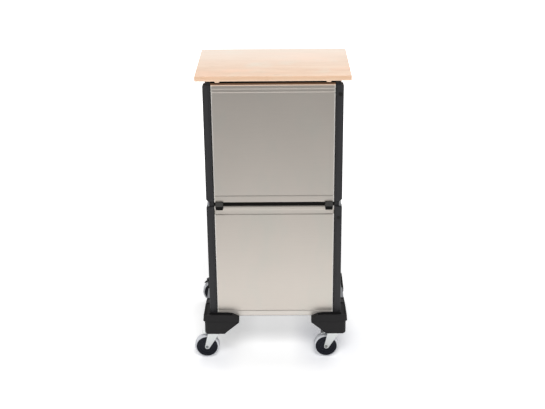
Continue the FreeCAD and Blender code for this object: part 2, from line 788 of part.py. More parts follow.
corners = {
    "front_left": (-1, -1), "front_right": (1, -1),
    "rear_left": (-1, 1), "rear_right": (1, 1),
}


def at_corner(body, corner):
    """Put a piece drawn about its own swivel axis under one of the feet."""
    hand, end = corners[corner]
    return place(body, hand * size["caster_square"], end * size["caster_square"], 0)


def make_caster_plates():
    plates, pins, bolts = [], [], []
    half, base = size["plate_half"], size["plate_base"]
    bore = size["kingpin_radius"] + size["kingpin_clearance"]
    for corner in corners:
        plate = new_body("caster_plate")
        plan = sketch_on(plate, "plate_plan", "XY_Plane", base)
        rectangle(plan, -half, half, -half, half)
        disc(plan, 0, 0, size["kingpin_radius"])
        pad(plate, plan, size["plate_top"] - base)
        soften(plate, 6, lambda middle, edge: upright(edge)
               and abs(middle.x) > 30 and abs(middle.y) > 30)
        race = sketch_on(plate, "race_profile", "XZ_Plane")
        radius = size["race_radius"]
        outline(race, [(bore + 4, base), (bore + 4, base - 3), (radius - 7, base - 5.4),
                       (radius - 1, base - 5.4), (radius, base - 4), (radius, base)])
        revolve(plate, race)
        plates.append(at_corner(plate, corner))

        pin = new_body("kingpin")
        turned = sketch_on(pin, "pin_profile", "XZ_Plane")
        crown = size["fork_crown"]
        outline(turned, [(0, crown - size["fork_sheet"] - 3.6),
                         (9, crown - size["fork_sheet"] - 3.6),
                         (10, crown - size["fork_sheet"] - 2.6),
                         (10, crown - size["fork_sheet"] - 0.3),
                         (size["kingpin_radius"], crown - size["fork_sheet"] - 0.3),
                         (size["kingpin_radius"], size["plate_top"]),
                         (0, size["plate_top"])])
        revolve(pin, turned)
        pins.append(at_corner(pin, corner))

        for across in (-25, 25):
            for deep in (-25, 25):
                bolt = document.addObject("Part::Prism", "caster_bolt")
                bolt.Polygon = 6
                bolt.Circumradius = 5.8
                bolt.Height = 3.6
                hand, end = corners[corner]
                place(bolt, hand * size["caster_square"] + across,
                      end * size["caster_square"] + deep, base - 3.6)
                bolts.append(bolt)
    keep(group("caster_plates", plates), group("caster_kingpins", pins),
         group("caster_bolts", bolts))


def tangent_points(centre, radius, point):
    """The two touching points of the tangents from a point to a circle."""
    gap_x, gap_y = point[0] - centre[0], point[1] - centre[1]
    distance = math.hypot(gap_x, gap_y)
    turn = math.acos(radius / distance)
    heading = math.atan2(gap_y, gap_x)
    return [(centre[0] + radius * math.cos(heading + sign * turn),
             centre[1] + radius * math.sin(heading + sign * turn)) for sign in (-1, 1)]


def fork_outline(sketch):
    """Straight crown, two slanting edges and a round eye about the axle."""
    crown, eye = size["fork_crown"], size["fork_eye"]
    back, front = -size["fork_back"], size["fork_front"]
    centre = (-size["trail"], size["wheel_radius"])
    middle = (centre[0].number, centre[1].number)
    right = tangent_points(middle, eye.number, (front.number, crown.number))[0]
    left = tangent_points(middle, eye.number, (back.number, crown.number))[1]
    start = math.atan2(left[1] - middle[1], left[0] - middle[0])
    end = math.atan2(right[1] - middle[1], right[0] - middle[0])
    top_left = Vector(back.number, crown.number, 0)
    top_right = Vector(front.number, crown.number, 0)
    sketch.addGeometry([
        Part.LineSegment(top_right, top_left),
        Part.LineSegment(top_left, Vector(*left, 0)),
        Part.ArcOfCircle(Part.Circle(Vector(*middle, 0), Vector(0, 0, 1), eye.number),
                         start, end),
        Part.LineSegment(Vector(*right, 0), top_right),
    ])
    pin_point(sketch, 0, 1, front, crown)
    pin_point(sketch, 0, 2, back, crown)
    pin_point(sketch, 2, 3, *centre)
    sketch.addConstraint([
        Sketcher.Constraint("Coincident", 0, 2, 1, 1),
        Sketcher.Constraint("Tangent", 1, 2, 2, 1),
        Sketcher.Constraint("Tangent", 2, 2, 3, 1),
        Sketcher.Constraint("Coincident", 3, 2, 0, 1),
    ])
    row = sketch.addConstraint(Sketcher.Constraint("Radius", 2, eye.number))
    sketch.setExpression(f"Constraints[{row}]", eye.text)


def make_fork(corner):
    """Pressed fork: two tapering legs under a crown with the lower ball race."""
    fork = new_body(f"caster_fork_{corner}")
    profile = sketch_on(fork, "fork_profile", "XZ_Plane")
    fork_outline(profile)
    pad(fork, profile, 2 * size["fork_half"], middle=True)
    crown = size["fork_crown"].number
    soften(fork, 4, lambda middle, edge: near(middle.z, crown)
           and near(abs(middle.y), size["fork_half"]))
    slot = sketch_on(fork, "wheel_slot", "YZ_Plane")
    inside = size["fork_half"] - size["fork_sheet"]
    rectangle(slot, -inside, inside, 0, size["fork_crown"] - size["fork_sheet"])
    pocket(fork, slot, middle=True)
    if corner.startswith("front"):
        add_tail(fork)
    race = sketch_on(fork, "lower_race", "XZ_Plane")
    bore = size["kingpin_radius"] + size["kingpin_clearance"]
    radius = size["race_radius"] - 9
    outline(race, [(bore, size["fork_crown"] - 1), (bore, size["fork_crown"] + 2),
                   (radius - 1, size["fork_crown"] + 2), (radius, size["fork_crown"] + 1),
                   (radius, size["fork_crown"] - 1)])
    revolve(fork, race)
    drill = sketch_on(fork, "kingpin_bore", "XY_Plane", size["fork_crown"] - 10)
    disc(drill, 0, 0, bore)
    pocket(fork, drill, 20, backwards=True)
    axle = sketch_on(fork, "axle_bore", "XZ_Plane")
    disc(axle, -size["trail"], size["wheel_radius"], size["axle_radius"])
    pocket(fork, axle, middle=True)
    keep(at_corner(fork, corner))


def add_tail(fork):
    """A short pressed tongue from the crown over the trailing side of the wheel."""
    tail = sketch_on(fork, "crown_tail", "XZ_Plane")
    crown, sheet, back = size["fork_crown"], size["fork_sheet"], -size["fork_back"]
    outline(tail, [(back + 2, crown), (back - 16, crown - 1.5), (back - 28, crown - 5.5),
                   (back - 27.3, crown - 5.2 - sheet), (back - 15.6, crown - 1.4 - sheet),
                   (back + 2, crown - sheet)])
    pad(fork, tail, 2 * size["tail_half"], middle=True)


def make_axle(corner):
    """Axle rivet through both legs with a low domed head at each end."""
    axle = new_body(f"caster_axle_{corner}")
    profile = sketch_on(axle, "axle_profile", "XY_Plane")
    radius, face = size["axle_radius"], size["fork_half"]
    outline(profile, [(0, -face - 2.2), (5, -face - 2.2), (6.5, -face), (radius, -face),
                      (radius, face), (6.5, face), (5, face + 2.2), (0, face + 2.2)])
    revolve(axle, profile)
    hand, end = corners[corner]
    place(axle, hand * size["caster_square"] - size["trail"],
          end * size["caster_square"], size["wheel_radius"])
    keep(axle)


def make_wheel(corner):
    """Plastic hub with stepped rings and a soft tyre, both turned about the axle."""
    hand, end = corners[corner]
    centre = (hand * size["caster_square"] - size["trail"],
              end * size["caster_square"], size["wheel_radius"])
    bore = size["axle_radius"] + size["axle_clearance"]
    rim, half = size["hub_radius"], size["wheel_half"]

    hub = new_body(f"wheel_hub_{corner}")
    profile = sketch_on(hub, "hub_profile", "XY_Plane")
    face = [(bore, half + 1), (9.5, half + 1), (10.5, half - 3.5), (19, half - 4.5),
            (20, half - 2.5), (23, half - 2.5), (24, half - 4.5), (29.5, half - 4),
            (31, half - 0.5), (33, half - 0.5), (34, half - 2), (39.5, half - 1.5),
            (40.5, half + 0.8), (rim, half + 0.8)]
    outline(profile, face + [(x, -y) for x, y in reversed(face)])
    revolve(hub, profile)
    place(hub, *centre)

    tyre = new_body(f"wheel_tyre_{corner}")
    section = sketch_on(tyre, "tyre_profile", "XY_Plane")
    tread = size["wheel_radius"]
    side = [(rim, half - 0.6), (rim + 1.5, half), (tread - 3, half - 0.5),
            (tread - 1, half - 3), (tread, half - 8)]
    outline(section, side + [(x, -y) for x, y in reversed(side)])
    revolve(tyre, section)
    place(tyre, *centre)
    keep(hub, tyre)


def make_brake(corner):
    """Brake pedal above the trailing side of the wheel, turning about a cross pin."""
    pin = new_body(f"brake_pin_{corner}")
    pin_section = sketch_on(pin, "pin_section", "XZ_Plane")
    inside = size["fork_half"] - size["fork_sheet"]
    disc(pin_section, -size["brake_pivot_back"], size["brake_pivot_rise"],
         size["brake_pin_radius"])
    pad(pin, pin_section, 2 * inside, middle=True)

    pedal = new_body(f"brake_pedal_{corner}")
    profile = sketch_on(pedal, "pedal_profile", "XZ_Plane")
    outline(profile, [(-28, 102), (-16, 102), (-15, 103), (-15, 108.6), (-34, 110),
                      (-56, 109.8), (-68, 108.6), (-69.5, 106.8), (-68, 105), (-61, 104),
                      (-67, 100.2), (-74, 96), (-77.5, 91), (-75, 88.4), (-71, 92),
                      (-66, 95.7), (-60, 99.1), (-48, 104.2), (-36, 106.4)])
    pad(pedal, profile, 2 * inside - 1, middle=True)
    tread = sketch_on(pedal, "pedal_tread", "XZ_Plane")
    outline(tread, [(-54, 104.4), (-54, 109.8), (-68, 108.6), (-69.5, 106.8), (-68, 105),
                    (-61, 104)])
    outline(tread, [(-64, 102.1), (-74, 96), (-77.5, 91), (-75, 88.4), (-71, 92),
                    (-66, 95.7), (-62, 98.1)])
    pad(pedal, tread, 46, middle=True)
    bore = sketch_on(pedal, "pivot_bore", "XZ_Plane")
    disc(bore, -size["brake_pivot_back"], size["brake_pivot_rise"],
         size["brake_pin_radius"] + size["axle_clearance"])
    pocket(pedal, bore, middle=True)
    keep(at_corner(pin, corner), at_corner(pedal, corner))


# ---- build and export ------------------------------------------------------------


def check_document():
    """Stop if any object failed, before a file is written."""
    document.recompute()
    for item in document.Objects:
        if "Invalid" in item.State or "Error" in item.State:
            raise RuntimeError(f"{item.Label} failed: {item.State}")
    for piece in exported:
        if piece.Shape.isNull() or not piece.Shape.isValid():
            raise RuntimeError(f"{piece.Label} has no valid shape")


def export():
    os.makedirs("parts", exist_ok=True)
    for old in os.listdir("parts"):
        os.remove(os.path.join("parts", old))
    for piece in exported:
        piece.Shape.exportStep(f"parts/{piece.Label}.step")
    print(f"{len(exported)} sub-parts written")


make_board()
make_battens()
make_board_screws()
make_lower_posts()
make_upper_posts()
for level in ("lower", "upper"):
    base = module_tops[level] - size["module_height"]
    lock_rise = size[f"{level}_lock_rise"]
    make_module_rails(level, base)
    make_floor_plate(level, base)
    make_shelf(level, base)
    make_lock(f"{level}_turn_lock", base + lock_rise)
lower_top = module_tops["lower"] - size["panel_top_gap"]
upper_top = module_tops["upper"] - size["panel_top_gap"]
make_front_panel("lower", size["module_base"], size["module_base"] - 4,
                 [size["module_base"] + 20.4, lower_top - 34.1, lower_top - 13.4],
                 size["lower_lock_rise"])
make_front_panel("upper", module_tops["lower"], module_tops["lower"] + size["panel_foot"],
                 [module_tops["lower"] + 33.5, upper_top - 32.1, upper_top - 23.6,
                  upper_top - 10.1],
                 size["upper_lock_rise"])
make_side_panel("lower", size["module_base"], size["module_base"] + 1)
make_side_panel("upper", module_tops["lower"], module_tops["lower"] + size["panel_foot"])
make_clips()
make_post_connectors()
make_feet()
make_sills()
make_buffers()
make_base_tray()
make_caster_plates()
for corner in corners:
    make_fork(corner)
    make_axle(corner)
    make_wheel(corner)
for corner in ("rear_left", "rear_right"):
    make_brake(corner)
check_document()
export()
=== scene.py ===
import json
import math

import bmesh
import bpy
import numpy as np
from mathutils import Matrix, Vector

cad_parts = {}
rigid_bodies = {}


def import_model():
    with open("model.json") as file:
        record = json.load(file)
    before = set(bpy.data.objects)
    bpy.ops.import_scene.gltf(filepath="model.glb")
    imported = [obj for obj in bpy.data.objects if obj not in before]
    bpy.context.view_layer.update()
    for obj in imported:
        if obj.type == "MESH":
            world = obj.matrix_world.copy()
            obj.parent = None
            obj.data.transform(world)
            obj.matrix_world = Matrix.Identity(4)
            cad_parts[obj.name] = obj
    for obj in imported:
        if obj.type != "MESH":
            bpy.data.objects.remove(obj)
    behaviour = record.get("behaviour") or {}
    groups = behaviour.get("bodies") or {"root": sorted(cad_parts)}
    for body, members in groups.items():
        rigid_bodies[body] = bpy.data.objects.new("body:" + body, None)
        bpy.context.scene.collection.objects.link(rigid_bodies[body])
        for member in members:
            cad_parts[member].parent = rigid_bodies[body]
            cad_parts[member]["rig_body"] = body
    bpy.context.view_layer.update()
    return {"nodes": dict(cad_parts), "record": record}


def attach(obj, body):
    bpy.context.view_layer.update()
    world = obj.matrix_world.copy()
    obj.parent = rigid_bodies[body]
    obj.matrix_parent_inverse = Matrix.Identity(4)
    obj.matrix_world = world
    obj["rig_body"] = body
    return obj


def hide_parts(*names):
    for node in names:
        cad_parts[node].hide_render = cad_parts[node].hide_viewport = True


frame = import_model()
nodes = frame["nodes"]
corners = {"front_left": (-1, -1), "front_right": (1, -1),
           "rear_left": (-1, 1), "rear_right": (1, 1)}
print("frame loaded:", len(nodes), "nodes")


class Field:
    # one socket in a tree; arithmetic on it adds Math nodes, and 1 - mask works too
    def __init__(self, finish, socket):
        self.finish = finish
        self.socket = socket

    def out(self, name):
        return Field(self.finish, self.socket.node.outputs[name])

    def calc(self, operation, first, second=0.0, third=0.0, clamp=False):
        settings = {"operation": operation, "use_clamp": clamp}
        return self.finish.node("ShaderNodeMath", settings, {0: first, 1: second, 2: third})

    def __add__(self, other):
        return self.calc("ADD", self, other)

    def __radd__(self, other):
        return self.calc("ADD", other, self)

    def __sub__(self, other):
        return self.calc("SUBTRACT", self, other)

    def __rsub__(self, other):
        return self.calc("SUBTRACT", other, self)

    def __mul__(self, other):
        return self.calc("MULTIPLY", self, other)

    def __truediv__(self, other):
        return self.calc("DIVIDE", self, other)

    def __abs__(self):
        return self.calc("ABSOLUTE", self)

    def above(self, edge, width):
        # a soft step: 0 below the edge, 1 from width above it
        return self.calc("MULTIPLY_ADD", self, 1.0 / width, -edge / width, clamp=True)

    def below(self, edge, width):
        # the other way round: 1 up to width below the edge, 0 from the edge
        return self.calc("MULTIPLY_ADD", self, -1.0 / width, edge / width, clamp=True)

    def wave(self):
        # a sine of this value, brought to the range 0 to 1
        return self.calc("SINE", self) * 0.5 + 0.5


class Finish:
    # one material or world: its node tree, and the single way to add a node
    def __init__(self, name, block=None):
        self.block = block or bpy.data.materials.new(name)
        self.block.use_nodes = True
        self.tree = self.block.node_tree
        self.tree.nodes.clear()

    def node(self, kind, settings=None, inputs=None, output=0):
        made = self.tree.nodes.new(kind)
        for name, value in (settings or {}).items():
            if name == "ramp":
                self.setRamp(made.color_ramp, value)
            else:
                setattr(made, name, value)
        for key, value in (inputs or {}).items():
            self.feed(made.inputs[key], value)
        return Field(self, made.outputs[output]) if made.outputs else None

    def setRamp(self, ramp, stops):
        while len(ramp.elements) > 1:
            ramp.elements.remove(ramp.elements[0])
        for index, (place, colour) in enumerate(stops):
            element = ramp.elements[0] if index == 0 else ramp.elements.new(place)
            element.position = place
            element.color = (*colour, 1.0)

    def feed(self, socket, value):
        if isinstance(value, Field):
            self.tree.links.new(value.socket, socket)
        elif isinstance(value, (tuple, list)) and len(value) == 3 and socket.type == "RGBA":
            socket.default_value = (*value, 1.0)
        else:
            socket.default_value = value

    def place(self, scale=(1, 1, 1), move=(0, 0, 0)):
        coords = self.node("ShaderNodeTexCoord").out("Object")
        return self.node("ShaderNodeMapping", {},
                         {"Vector": coords, "Scale": scale, "Location": move})

    def axes(self, where=None):
        # the three coordinates of a place, in metres
        split = self.node("ShaderNodeSeparateXYZ", {}, {0: where or self.place()})
        return split.out("X"), split.out("Y"), split.out("Z")

    def distance(self, where):
        length = self.node("ShaderNodeVectorMath", {"operation": "LENGTH"}, {0: where})
        return length.out("Value")

    def noise(self, where, scale, detail=4.0, roughness=0.55, distortion=0.0):
        return self.node("ShaderNodeTexNoise", {},
                         {"Vector": where, "Scale": scale, "Detail": detail,
                          "Roughness": roughness, "Distortion": distortion})

    def cells(self, where, scale, output="Distance"):
        return self.node("ShaderNodeTexVoronoi", {}, {"Vector": where, "Scale": scale}).out(output)

    def mix(self, amount, first, second, mode="MIX"):
        settings = {"data_type": "RGBA", "blend_type": mode, "clamp_factor": True}
        return self.node("ShaderNodeMix", settings, {0: amount, 6: first, 7: second}, output=2)

    def bump(self, height, strength, distance):
        return self.node("ShaderNodeBump", {},
                         {"Height": height, "Strength": strength, "Distance": distance})

    def close(self, shader, kind="ShaderNodeOutputMaterial"):
        self.node(kind, {}, {"Surface": shader})
        return self.block

    def surface(self, **sockets):
        # sockets are the Principled shader's, with spaces written as underscores
        inputs = {name.replace("_", " "): value for name, value in sockets.items()}
        return self.close(self.node("ShaderNodeBsdfPrincipled", {}, inputs))


def srgb(red, green, blue):
    # eight-bit display colour to linear light
    def channel(value):
        value = value / 255.0
        return value / 12.92 if value <= 0.04045 else ((value + 0.055) / 1.055) ** 2.4
    return tuple(channel(value) for value in (red, green, blue))


def toned(colour, factor, lift=0.0):
    # the same colour, darker or lighter
    return tuple(min(1.0, channel * factor + lift) for channel in colour)


# in the finishes' dictionaries a pair is (edge, width) in metres, for above and below
beech = {
    "light": srgb(241, 212, 187), "dark": srgb(224, 186, 154), "fleck": srgb(205, 164, 130),
    "rosy": srgb(247, 205, 176), "grey": srgb(226, 212, 192), "paintedBackSheen": srgb(255, 242, 229),
    "paintedArrisHighlight": srgb(252, 222, 196), "edge": srgb(224, 180, 144),
    "heart": (0.05, 0.03, -1.105), "ringStretch": (0.16, 1.0, 1.9), "ringCount": 150.0,
    "paintedBackSheenDeep": (-0.20, 0.36), "frontShadeDeep": (-0.2608, 0.0006),
    "arrisUp": (1.1672, 0.0022), "arrisDeep": (-0.258, 0.003),
}


def beechFinish(name, shade=1.0):
    # flat-sawn beech: growth rings cut into long arches, fine rays, rosy and grey drifts; a
    # painted sheen makes it paler towards the back, a painted shade darkens the front face, and a
    # painted highlight lightens the lower arris along the front
    finish = Finish(name)
    wander = finish.noise(finish.place(scale=(1.3, 5.0, 5.0)), 2.6, detail=3.0)
    rings = finish.distance(finish.place(scale=beech["ringStretch"], move=beech["heart"]))
    arches = (rings * beech["ringCount"] + wander * 9.0).wave()
    streaks = finish.noise(finish.place(scale=(1.2, 70.0, 70.0)), 3.0, detail=5.0,
                           roughness=0.65)
    flecks = finish.noise(finish.place(scale=(0.14, 1.0, 1.0)), 190.0, detail=2.0)
    fleckMask = flecks.above(0.60, 0.08)
    body = finish.mix(arches * 0.55 + streaks * 0.6 - 0.14, toned(beech["light"], shade),
                      toned(beech["dark"], shade))
    rosy = finish.noise(finish.place(scale=(1.0, 2.2, 2.2)), 3.4, detail=2.0).above(0.50, 0.2)
    grey = finish.noise(finish.place(scale=(1.6, 1.6, 1.6), move=(3, 1, 0)), 4.1,
                        detail=2.0).above(0.54, 0.16)
    body = finish.mix(rosy * 0.7, body, toned(beech["rosy"], shade))
    body = finish.mix(grey * 0.62, body, toned(beech["grey"], shade))
    body = finish.mix(fleckMask * 0.34, body, toned(beech["fleck"], shade))
    deep, up = finish.axes()[1:]
    # painted sheen: the board turns paler towards the back, where the bright sweep behind glances
    # off it
    paintedBackSheen = deep.above(*beech["paintedBackSheenDeep"])
    body = finish.mix(paintedBackSheen * 0.75, body, toned(beech["paintedBackSheen"], shade))
    # painted shade: the board's front face is darker and more orange, toning down the front lamp's
    # light
    edge = deep.below(*beech["frontShadeDeep"])
    body = finish.mix(edge * 0.25, body, toned(beech["edge"], shade))
    # painted highlight along the lower front arris
    paintedArrisHighlight = up.below(*beech["arrisUp"]) * deep.below(*beech["arrisDeep"])
    body = finish.mix(paintedArrisHighlight * 0.75, body, toned(beech["paintedArrisHighlight"], shade))
    relief = finish.bump(streaks - fleckMask * 0.4, 0.10, 0.0004)
    return finish.surface(Base_Color=body, Roughness=0.38 + streaks * 0.14, Normal=relief,
                          Specular_IOR_Level=0.45, Coat_Weight=0.15, Coat_Roughness=0.3)


shelfCoat = {"coat": srgb(84, 85, 87), "grain": 900.0, "spread": 0.16, "rough": 0.5, "gloss": 0.4}


def shelfFinish(name):
    # textured powder coat: fine orange peel, slight tone drift, paler rubbed places
    finish = Finish(name)
    peel = finish.noise(finish.place(), shelfCoat["grain"], detail=2.0)
    drift = finish.noise(finish.place(), 7.0, detail=3.0)
    wearAndPaintedHighlight = finish.noise(finish.place(scale=(1, 1, 0.35)), 34.0, detail=5.0).above(0.60, 0.2)
    shade = finish.mix(drift * 0.6 + peel * 0.25 + wearAndPaintedHighlight * 0.3,
                       toned(shelfCoat["coat"], 1.0 - shelfCoat["spread"]),
                       toned(shelfCoat["coat"], 1.0 + shelfCoat["spread"], 0.003))
    return finish.surface(Base_Color=shade, Roughness=shelfCoat["rough"] + (drift - 0.5) * 0.12,
                          Normal=finish.bump(peel, 0.10, 0.0003),
                          Specular_IOR_Level=shelfCoat["gloss"])


post = {
    "coat": srgb(47, 47, 49), "lip": srgb(20, 17, 16), "rough": 0.5, "gloss": 0.32,
    "lineCount": 420.0, "lipAcross": (0.2338, 0.0012), "lipDeep": (0.249, 0.002),
}


def postFinish(name):
    # satin coat over drawn channel: faint upright draw lines, and painted shade darkening the
    # inner lip
    finish = Finish(name)
    across, deep = finish.axes()[:2]
    lines = finish.noise(finish.place(scale=(1.0, 1.0, 0.006)), post["lineCount"], detail=3.0)
    broad = finish.noise(finish.place(scale=(1.0, 1.0, 0.03)), 120.0, detail=2.0)
    peel = finish.noise(finish.place(), 900.0, detail=2.0)
    drift = finish.noise(finish.place(), 9.0, detail=4.0)
    tone = lines * 0.3 + broad * 0.55 + drift * 0.35 + peel * 0.1 - 0.12
    shade = finish.mix(tone, toned(post["coat"], 0.62), toned(post["coat"], 1.5))
    # painted shade: the inner lip beside the rebate is darkened as if in shadow
    lip = abs(across).below(*post["lipAcross"]) * abs(deep).above(*post["lipDeep"])
    shade = finish.mix(lip * 0.9, shade, post["lip"])
    relief = finish.bump(lines + peel * 0.4, 0.10, 0.0003)
    return finish.surface(Base_Color=shade, Roughness=post["rough"] + (broad - 0.5) * 0.16,
                          Normal=relief, Specular_IOR_Level=post["gloss"])


rail = {
    "coat": srgb(13, 11, 9), "paintedWoodReflection": srgb(112, 82, 60), "stripDeep": (-0.2495, 0.001),
    "stripFrom": (1.136, 0.002), "stripTo": (1.1545, 0.001),
}


def railFinish(name):
    # black square tube; the front of the top rail under the desk board has a brown strip, a
    # painted reflection of the board's underside
    finish = Finish(name)
    deep, up = finish.axes()[1:]
    peel = finish.noise(finish.place(), 800.0, detail=2.0)
    drift = finish.noise(finish.place(scale=(0.5, 1, 1)), 12.0, detail=3.0)
    # painted reflection: the board's warm underside painted onto the top rail's front
    paintedLightStrip = (up.above(*rail["stripFrom"]) * deep.below(*rail["stripDeep"])
             * up.below(*rail["stripTo"]))
    shade = finish.mix(drift * 0.7 + peel * 0.3, toned(rail["coat"], 0.7),
                       toned(rail["coat"], 1.5))
    paintedReflection = finish.mix(finish.noise(finish.place(scale=(1.0, 40.0, 40.0)), 6.0),
                       toned(rail["paintedWoodReflection"], 0.8), toned(rail["paintedWoodReflection"], 1.15))
    shade = finish.mix(paintedLightStrip * 0.9, shade, paintedReflection)
    return finish.surface(Base_Color=shade, Roughness=0.55 + (drift - 0.5) * 0.12,
                          Normal=finish.bump(peel, 0.10, 0.0003), Specular_IOR_Level=0.14)


def mouldFinish(name, colour, rough=0.55, grain=420.0, depth=0.16, gloss=0.3, dusty=1.0):
    # moulded plastic or rubber: fine leather-like grain, faint flow marks, a little dust
    finish = Finish(name)
    cells = finish.cells(finish.place(), grain)
    drift = finish.noise(finish.place(), 11.0, detail=4.0)
    flow = finish.noise(finish.place(scale=(1, 1, 3)), 30.0, detail=4.0, distortion=0.8)
    dust = finish.noise(finish.place(), 70.0, detail=3.0).above(0.6, 0.2)
    shade = finish.mix(drift * 0.5 + flow * 0.3 + dust * 0.2 * dusty, toned(colour, 0.82),
                       toned(colour, 1.35, 0.003))
    return finish.surface(Base_Color=shade, Roughness=rough + (drift - 0.5) * 0.16,
                          Normal=finish.bump(cells + flow * 0.5, depth, 0.0003),
                          Specular_IOR_Level=gloss)


sill = {
    "sheet": srgb(138, 140, 144), "rough": 0.42, "scratch": (90.0, 0.8, 90.0),
    "hair": (360.0, 3.2, 360.0),
}


def sillFinish(name):
    # anodised sheet brushed along its length: fine scratches on a broad tone drift
    finish = Finish(name)
    scratches = finish.noise(finish.place(scale=sill["scratch"]), 9.0, detail=6.0,
                             roughness=0.7)
    hair = finish.noise(finish.place(scale=sill["hair"]), 7.0, detail=3.0)
    drift = finish.noise(finish.place(scale=(1.0, 1.0, 0.5)), 4.2, detail=3.0)
    tone = scratches * 0.42 + hair * 0.26 + drift * 0.32
    shade = finish.mix(tone.above(0.25, 0.5), toned(sill["sheet"], 0.91),
                       toned(sill["sheet"], 1.07))
    return finish.surface(Base_Color=shade, Metallic=1.0,
                          Roughness=sill["rough"] + (scratches - 0.5) * 0.14 + drift * 0.04,
                          Normal=finish.bump(scratches + hair * 0.5, 0.05, 0.0002))


panel = {
    "steel": srgb(226, 218, 209), "cool": srgb(214, 215, 206), "paintedFoldHighlight": srgb(246, 243, 238),
    "top": srgb(246, 218, 196), "rough": 0.41, "metal": 0.88,
    "foldDull": 0.6, "topDull": 0.5, "lowDull": 0.12, "stripMix": 0.25, "stripDull": 0.45,
    "foldAcross": (0.2262, 0.0015), "foldDeep": (0.2515, 0.0003), "frontDeep": (-0.25, 0.001),
    "topUp": (1.1436, 0.001), "stripUp": (0.2116, 0.001), "lowUp": (0.26, 0.05),
    "half": 0.2307, "face": -0.254, "radius": 0.003, "sheet": 0.0012, "flange": 0.013,
    "shallow": 0.00245, "flat": 0.0008, "stepWidth": 0.0036, "stepHeight": 0.0020,
    "railGap": 0.0006, "margin": 0.005, "columns": (-0.11, 0.0, 0.11),
    "lower_front_panel": {
        "low": 0.190, "high": 0.6646, "sideRadius": 0.0014, "rails": (0.2185, 0.6485),
        "steps": ((0.2124, -1), (0.6305, -1.5), (0.6530, 2)),
    },
    "upper_front_panel": {
        "low": 0.6828, "high": 1.1476, "sideRadius": 0.003, "rails": (0.7015, 1.1315),
        "steps": ((0.7085, -1), (1.1192, 1), (1.1248, -1), (1.1320, 1), (1.1385, -1)),
    },
}


def panelFinish(name):
    # warm brushed sheet: level scratches and faint cooler clouds; painted highlights make the side
    # folds, the top strip and the bottom strip paler and duller, the top strip warm as a painted
    # reflection of the board
    finish = Finish(name)
    across, deep, up = finish.axes()
    scratches = finish.noise(finish.place(scale=(0.8, 90.0, 90.0)), 9.0, detail=6.0,
                             roughness=0.7)
    hair = finish.noise(finish.place(scale=(3.0, 380.0, 380.0)), 7.0, detail=3.0)
    drift = finish.noise(finish.place(scale=(1.0, 1.0, 0.5)), 5.2, detail=3.0)
    tone = scratches * 0.42 + hair * 0.24 + drift * 0.34
    shade = finish.mix(tone.above(0.25, 0.5), toned(panel["steel"], 0.93),
                       toned(panel["steel"], 1.05))
    clouds = finish.noise(finish.place(scale=(1.6, 1.6, 0.7), move=(2, 0, 1)), 6.0,
                          detail=3.0).above(0.48, 0.2)
    shade = finish.mix(clouds * 0.35, shade, panel["cool"])
    # painted highlight on the side folds: paler colour and less metal, so they take more diffuse
    # light
    side = abs(across).above(*panel["foldAcross"]) * abs(deep).above(*panel["foldDeep"])
    front = deep.below(*panel["frontDeep"])
    # painted sheen on the top strip: a warm highlight with the board's reflection painted in
    top = up.above(*panel["topUp"]) * front
    shade = finish.mix(side * 0.9, shade, panel["paintedFoldHighlight"])
    shade = finish.mix(top * 0.9, shade, panel["top"])
    # painted highlight on the bottom strip, lifting the shade and reflection of the foot arms
    paintedLightStrip = up.below(*panel["stripUp"]) * front
    shade = finish.mix(paintedLightStrip * panel["stripMix"], shade, panel["paintedFoldHighlight"])
    low = up.below(*panel["lowUp"]) * front
    # painted highlights, not wear: the folds and the bottom strip lose metal so they render
    # lighter
    wearAndPaintedHighlight = side.calc("MAXIMUM", side, paintedLightStrip * panel["stripDull"])
    paintedLightDulling = wearAndPaintedHighlight * panel["foldDull"] + top * panel["topDull"] + low * panel["lowDull"]
    return finish.surface(Base_Color=shade, Metallic=panel["metal"] - paintedLightDulling,
                          Roughness=panel["rough"] + (scratches - 0.5) * 0.14 + drift * 0.05,
                          Normal=finish.bump(scratches + hair * 0.5, 0.05, 0.0002))


def zincFinish(name, colour, rough=0.34):
    # bright zinc plate: faint crystalline patches and small handling marks
    finish = Finish(name)
    spangle = finish.cells(finish.place(), 130.0, output="Color")
    patch = finish.noise(finish.place(), 26.0, detail=4.0)
    marks = finish.noise(finish.place(scale=(1.0, 1.0, 6.0)), 90.0, detail=4.0)
    shade = finish.mix(patch * 0.7 + marks * 0.3, toned(colour, 0.86), toned(colour, 1.04))
    shade = finish.mix(0.06, shade, spangle, "OVERLAY")
    return finish.surface(Base_Color=shade, Metallic=0.9, Roughness=rough + patch * 0.14,
                          Normal=finish.bump(marks, 0.06, 0.0002))


finishes = {
    "beech_board": beechFinish("beechBoard"),
    "batten_wood": beechFinish("beechBatten", shade=1.03),
    "post_black": postFinish("postCoat"),
    "rail_black": railFinish("railCoat"),
    "brushed_panel": panelFinish("panelBrush"),
    "shelf_grey": shelfFinish("shelfCoat"),
    "lock_black": mouldFinish("lockMould", srgb(26, 25, 25), rough=0.42, gloss=0.35),
    "clip_grey": mouldFinish("clipMould", srgb(60, 59, 57), rough=0.55),
    "rubber_black": mouldFinish("bufferRubber", srgb(15, 14, 13), rough=0.75, gloss=0.15),
    "foot_black": mouldFinish("footMould", srgb(33, 32, 33), rough=0.56, gloss=0.25),
    "sill_grey": sillFinish("sillAnodised"),
    "zinc_bright": zincFinish("forkZinc", srgb(246, 249, 248)),
    "zinc_hardware": zincFinish("hardwareZinc", srgb(172, 174, 175), rough=0.4),
    "hub_black": mouldFinish("hubMould", srgb(22, 25, 35), rough=0.36, grain=260.0,
                             depth=0.06, gloss=0.3),
    "tyre_grey": mouldFinish("tyreRubber", srgb(220, 222, 230), rough=0.62, grain=300.0,
                             dusty=0.5, depth=0.10),
    "pedal_black": mouldFinish("pedalMould", srgb(18, 18, 19), rough=0.5, gloss=0.25),
}
slotOf = {row["node"]: row["material_slot"] for row in frame["record"]["subparts"]}
